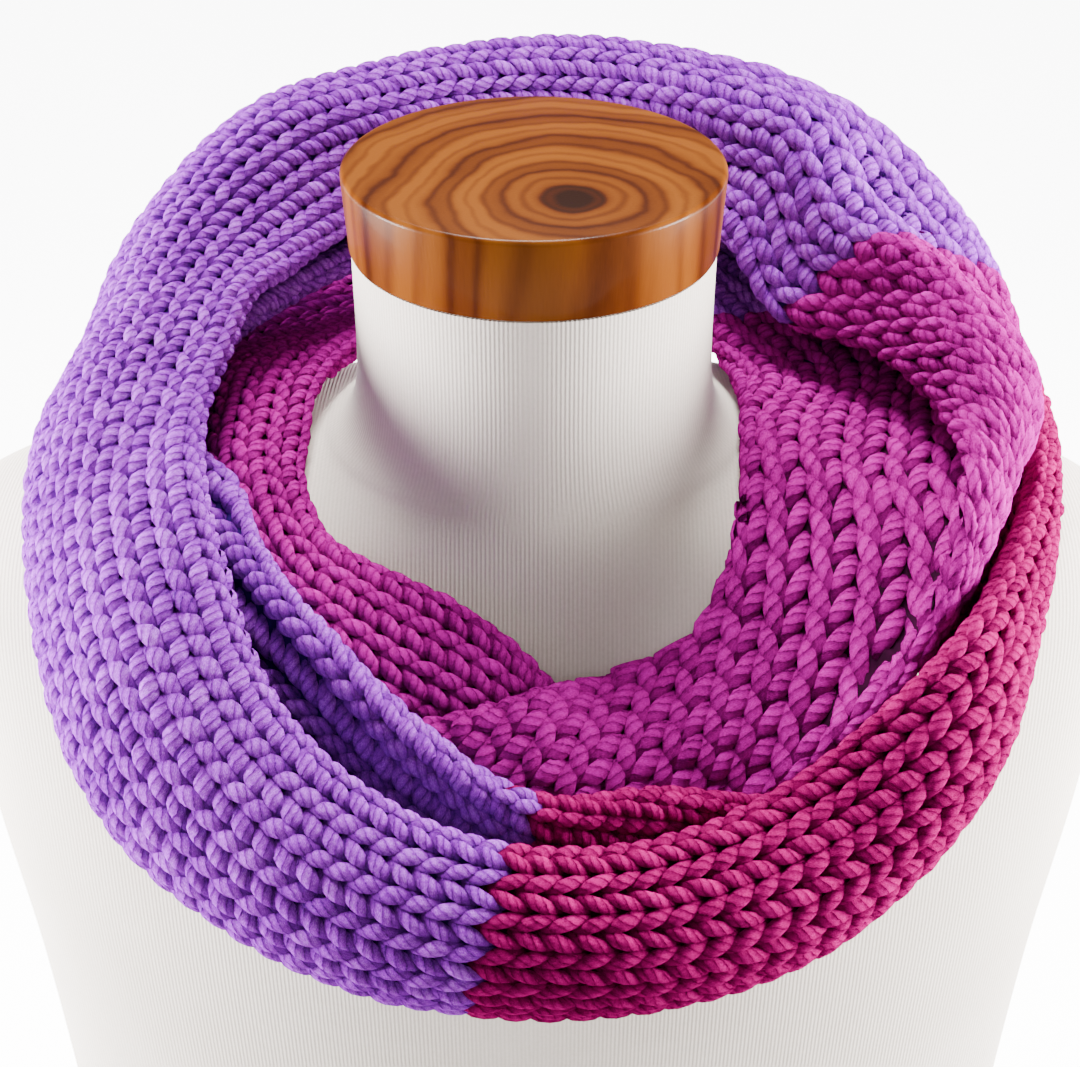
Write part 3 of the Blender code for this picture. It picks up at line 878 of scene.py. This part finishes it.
def wood():
    """Make varnished end grain: rings round a dark pith, and pores down the side."""
    n = Nodes("wood")
    split = n.split(n.place())
    grain = n.join(split["X"], split["Y"], n.math("MULTIPLY", split["Z"], GRAIN_STRETCH))
    warp = n.math("SUBTRACT", n.noise(grain, scale=26.0, detail=3.0), 0.5)
    east = n.math("SUBTRACT", split["X"], PITH[0] * MM)
    north = n.math("SUBTRACT", split["Y"], PITH[1] * MM)
    north = n.math("MULTIPLY", north, PITH_SQUEEZE)
    reach = n.math("SQRT", n.total((east, east), (north, north)))
    radius = n.total((warp, RING_WARP), start=reach)
    rings = n.total((n.waves(radius, RING_PITCH * MM), 0.5), start=0.5)
    rings = n.math("POWER", rings, 2.2)
    slow = n.waves(radius, SLOW_PITCH * MM, start=SLOW_START)
    pores = n.noise(grain, scale=1300.0)
    cloud = n.noise(grain, scale=16.0, detail=4.0)
    pith = n.remap(radius, 0.0, PITH_REACH, PITH_DARKNESS, 0.0)
    value = n.total((rings, 0.26), (slow, 0.20), (cloud, 0.55), (pores, 0.12), start=pith)
    bump = n.bump(n.math("ADD", value, pores), 0.10, 0.0003)
    return n.finish(Base_Color=n.ramp(value, WOOD_STOPS), Normal=bump, Roughness=0.35,
                    Specular_IOR_Level=0.05, Coat_Weight=0.05, Coat_Roughness=0.08)


def glowing_floor():
    """Make the pale floor, which glows behind the form as a lit backdrop does."""
    n = Nodes("floor")
    depth = n.split(n.place())["Y"]
    glow = n.remap(depth, GLOW_START, GLOW_FULL, 0.0, FLOOR_GLOW)
    return n.finish(Base_Color=FLOOR_COLOUR, Roughness=0.9, Emission_Color=WHITE,
                    Emission_Strength=glow)


def turned(name, rings, surface):
    """Make a closed body from rings of equal count, with a flat face at both ends."""
    build = bmesh.new()
    loops = [[build.verts.new(point * MM) for point in ring] for ring in rings]
    for low, high in zip(loops, loops[1:]):
        for index in range(len(low)):
            after = (index + 1) % len(low)
            build.faces.new((low[index], low[after], high[after], high[index]))
    build.faces.new(loops[0])
    build.faces.new(loops[-1])
    bmesh.ops.recalc_face_normals(build, faces=build.faces)
    mesh = bpy.data.meshes.new(name)
    build.to_mesh(mesh)
    build.free()
    mesh.shade_smooth()
    mesh.set_sharp_from_angle(angle=pi / 4)
    mesh.materials.append(surface)
    return placed(name, mesh)


def form_body(surface):
    """Loft the form's smooth body from the same levels as its solid, with a flat base."""
    stops = np.arange(len(FORM_LEVELS))
    at = np.linspace(0, stops[-1], FORM_STEPS * (len(stops) - 1) + 1)
    turn = 2 * pi * np.arange(FORM_SIDES) / FORM_SIDES
    rings = []
    for height, half_width, front, back in curve_through(stops, FORM_LEVELS, at):
        depth = np.where(np.cos(turn) > 0, front, back)
        x = -half_width * np.sin(turn)
        y = -depth * np.cos(turn)
        rings.append(np.stack([x, y, np.full(FORM_SIDES, height + CAP_TOP)], axis=1))
    return turned("form_body", rings, surface)


def wooden_cap(surface):
    """Turn the neck cap, with a soft round on its top rim and a small one below."""
    foot = CAP_TOP - CAP_THICKNESS
    profile = [(CAP_FOOT_RADIUS - inward, foot + up) for inward, up in CAP_FOOT_ROUND]
    for bend in pi / 2 * np.arange(CAP_ROUND_STEPS + 1) / CAP_ROUND_STEPS:
        radius = CAP_RADIUS - CAP_ROUND * (1 - np.cos(bend))
        profile.append((radius, CAP_TOP - CAP_ROUND * (1 - np.sin(bend))))
    turn = 2 * pi * np.arange(FORM_SIDES) / FORM_SIDES
    rings = []
    for radius, height in profile:
        level = np.full(FORM_SIDES, height)
        rings.append(np.stack([radius * np.cos(turn), radius * np.sin(turn), level], axis=1))
    return turned("wooden_cap", rings, surface)


def stage():
    """Lay a plain pale floor that runs well past the view."""
    bpy.ops.mesh.primitive_plane_add(size=FLOOR_SIZE, location=(0.0, 0.0, -FLOOR_DROP))
    floor = bpy.context.object
    floor.name = "floor"
    floor.data.materials.append(glowing_floor())


def lighting():
    """Light the form softly from both sides and above, with a weak light in front."""
    world = bpy.data.worlds.new("white_air")
    world.use_nodes = True
    air = world.node_tree.nodes["Background"]
    air.inputs["Color"].default_value = WHITE
    air.inputs["Strength"].default_value = WORLD_LIGHT
    bpy.context.scene.world = world
    for lamp in LAMPS:
        data = bpy.data.lights.new(lamp.name, "AREA")
        data.size = lamp.size
        data.energy = lamp.power
        view = Vector(LIT_POINT) - Vector(lamp.place)
        hung = placed(lamp.name, data)
        hung.location = lamp.place
        hung.rotation_euler = view.to_track_quat("-Z", "Y").to_euler()


def camera():
    """Stand the camera where the photograph was taken from."""
    data = bpy.data.cameras.new("camera")
    data.lens = CAMERA_FOCAL
    data.sensor_width = SENSOR_WIDTH
    data.sensor_fit = "HORIZONTAL"
    eye = placed("camera", data)
    eye.location = Vector(CAMERA_PLACE) * MM
    eye.rotation_euler = (np.radians(90.0 - CAMERA_PITCH), 0.0, 0.0)
    bpy.context.scene.camera = eye


def course_at(loop, angle):
    """Return the course that crosses an angle, read where the join shows."""
    place = JOIN_PLACES.get(angle, BELLY)
    row = (angle - loop.angles[0]) / ANGLE_PITCH
    return int(round(np.interp(row, np.arange(len(loop.angles)), loop.numbers[:, place])))


def declare(piece, slot, *nodes):
    """Fix a piece to the part's one body and hide the solids that it stands for; slot, its
    finish, is not used.
    """
    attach(piece, "root")
    if nodes:
        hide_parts(*nodes)


def main():
    """Dress the frame: the form, the four stretches of knit, the stage, lights and camera."""
    camera()
    declare(form_body(jersey()), "cream_jersey", "form_torso")
    declare(wooden_cap(wood()), "amber_wood", "form_neck_cap")
    cuts = INNER_TURN[:-1] + [cut._replace(angle=cut.angle + TURNS) for cut in OUTER_TURN[1:]]
    loop = Loop(cuts, MAGENTA_START - SPARE_ANGLE, MAGENTA_END + SPARE_ANGLE)
    first_course, lines = loop.course_lines()
    yarns = {name: yarn(name, colours, FLECKS[name]) for name, colours in YARNS.items()}
    # The cloth under the stitches takes each yarn's darkest colour: painted shade in the holes
    # between the stitches.
    shades = {name: shade(name + "_shade", colours[0]) for name, colours in YARNS.items()}
    for stretch in STRETCHES:
        cloth = shell(stretch.name, loop, stretch.start, stretch.end, shades[stretch.colour])
        declare(cloth, stretch.colour, stretch.name)
        first = max(course_at(loop, stretch.start) + 1 - first_course, 1)
        last = min(course_at(loop, stretch.end) + 1 - first_course, len(lines) - 2)
        ends = np.linspace(first, last, stretch.parts + 1).astype(int)
        for part, (low, high) in enumerate(zip(ends, ends[1:])):
            name = f"{stretch.name}_yarn_{part + 1}"
            piece = stitches(name, loop, lines, low, high, yarns[stretch.colour])
            declare(piece, stretch.colour)
    stage()
    lighting()


main()
